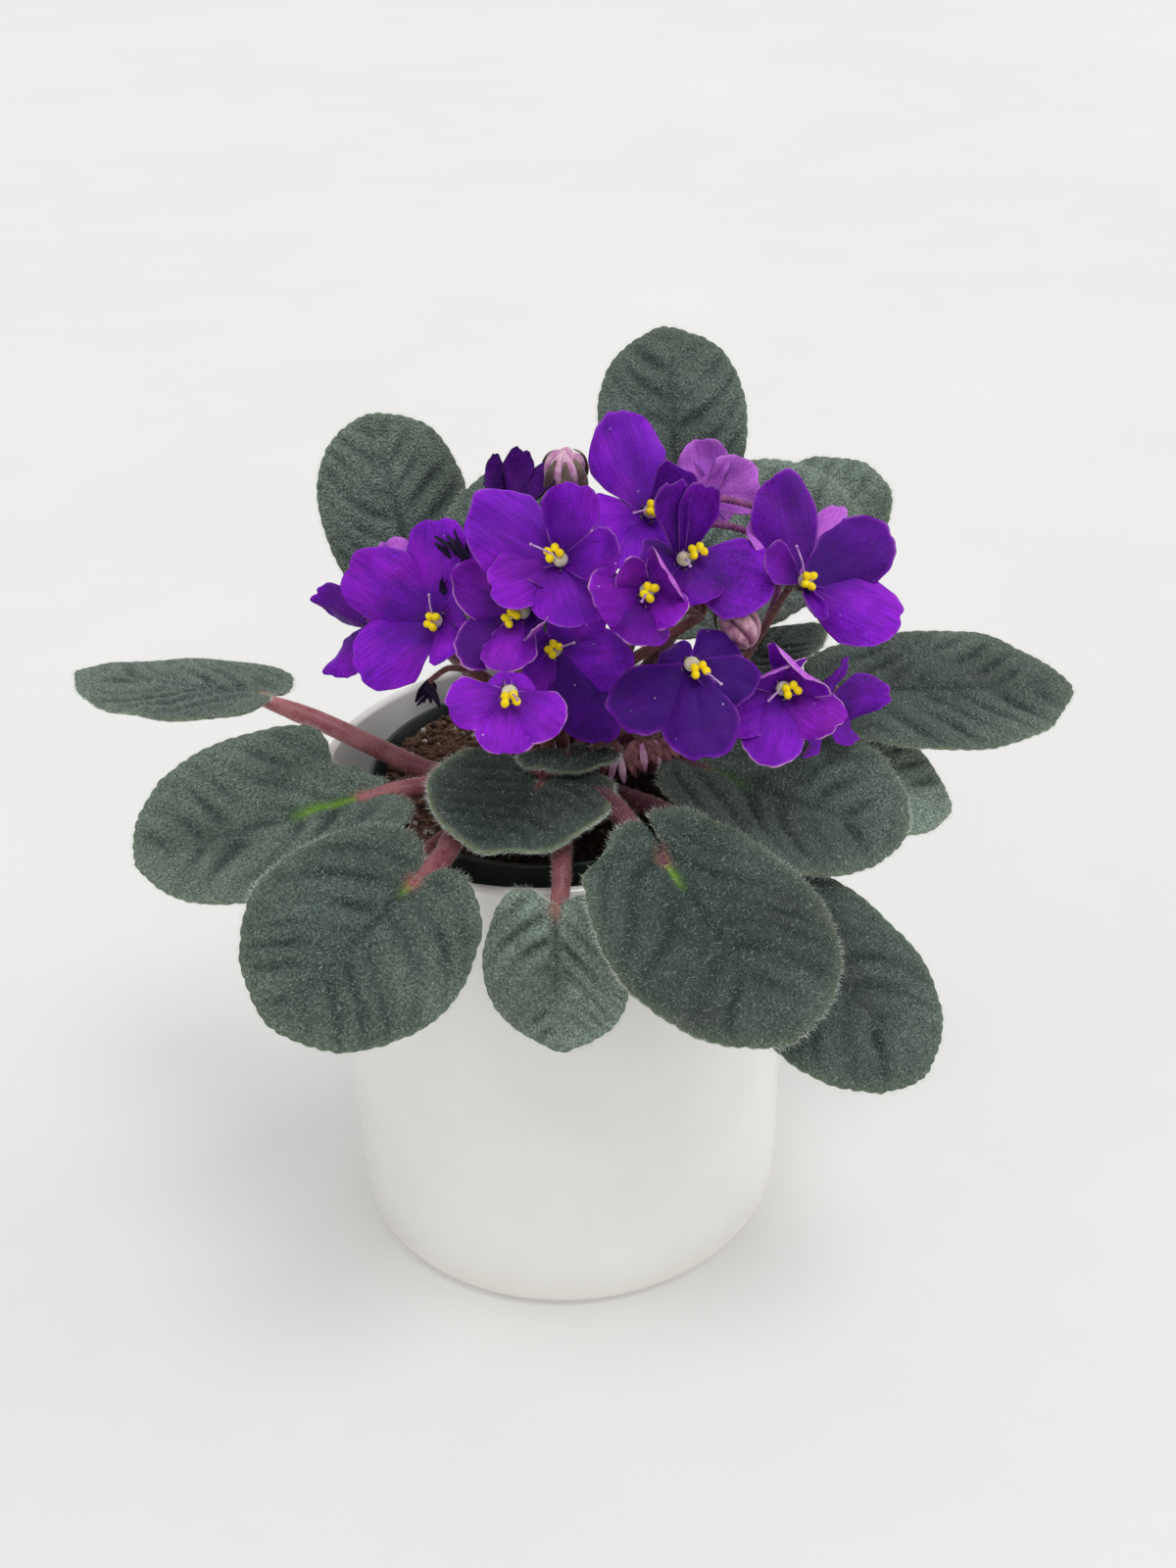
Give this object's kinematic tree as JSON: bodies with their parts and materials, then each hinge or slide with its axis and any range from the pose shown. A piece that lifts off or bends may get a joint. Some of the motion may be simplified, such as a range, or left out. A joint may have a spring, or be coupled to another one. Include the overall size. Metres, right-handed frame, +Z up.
{
  "type": "potted african violet",
  "caption": "Flowering houseplant: a rosette of stalked scalloped leaves and sprays of violet blooms in a thin nursery pot inside a plain white cachepot.",
  "frame": {"origin": "middle of the cachepot's flat base, on the surface it stands on", "axes": "+Z up through the cachepot's middle, +Y towards the back of the plant as pictured, +X to the viewer's right"},
  "size_m": [0.261, 0.1959, 0.2303],
  "materials": {
    "cachepot": "smooth white glaze",
    "nursery_pot": "thin moulded plastic, dark green-grey",
    "soil": "moist fibrous peat and coir",
    "leaf_stalks": "fleshy, rose-red, finely hairy",
    "leaf_blade": "matte quilted blade with fine white hairs",
    "flower_stems": "thin, dark red-brown, hairy",
    "petals": "satin violet",
    "anthers": "matte yellow",
    "buds": "satin pink"
  },
  "bodies": {
    "root": {"cachepot": "cachepot", "nursery_pot": "nursery_pot", "soil": "soil", "crown": "leaf_stalks", "leaf_far_left": "leaf_blade", "leaf_left": "leaf_blade", "leaf_left_under": "leaf_blade", "leaf_front_left": "leaf_blade", "leaf_front": "leaf_blade", "leaf_front_right": "leaf_blade", "leaf_low_right": "leaf_blade", "leaf_right": "leaf_blade", "leaf_right_under": "leaf_blade", "leaf_far_right": "leaf_blade", "leaf_back_left": "leaf_blade", "leaf_back": "leaf_blade", "leaf_back_right": "leaf_blade", "leaf_back_far_right": "leaf_blade", "leaf_inner_front": "leaf_blade", "leaf_inner_dark": "leaf_blade", "leaf_inner_right": "leaf_blade", "leaf_back_centre": "leaf_blade", "leaf_inner_back": "leaf_blade", "flower_stem_left": "flower_stems", "flower_stem_front": "flower_stems", "flower_stem_top": "flower_stems", "flower_stem_middle": "flower_stems", "flower_stem_right": "flower_stems", "corolla_01": "petals", "anthers_01": "anthers", "corolla_02": "petals", "anthers_02": "anthers", "corolla_03": "petals", "anthers_03": "anthers", "corolla_04": "petals", "anthers_04": "anthers", "corolla_05": "petals", "anthers_05": "anthers", "corolla_06": "petals", "anthers_06": "anthers", "corolla_07": "petals", "anthers_07": "anthers", "corolla_08": "petals", "corolla_09": "petals", "anthers_09": "anthers", "corolla_10": "petals", "anthers_10": "anthers", "corolla_11": "petals", "anthers_11": "anthers", "corolla_12": "petals", "anthers_12": "anthers", "corolla_13": "petals", "corolla_14": "petals", "corolla_15": "petals", "bud_upper": "buds", "bud_hanging": "buds"}
  },
  "joints": []
}
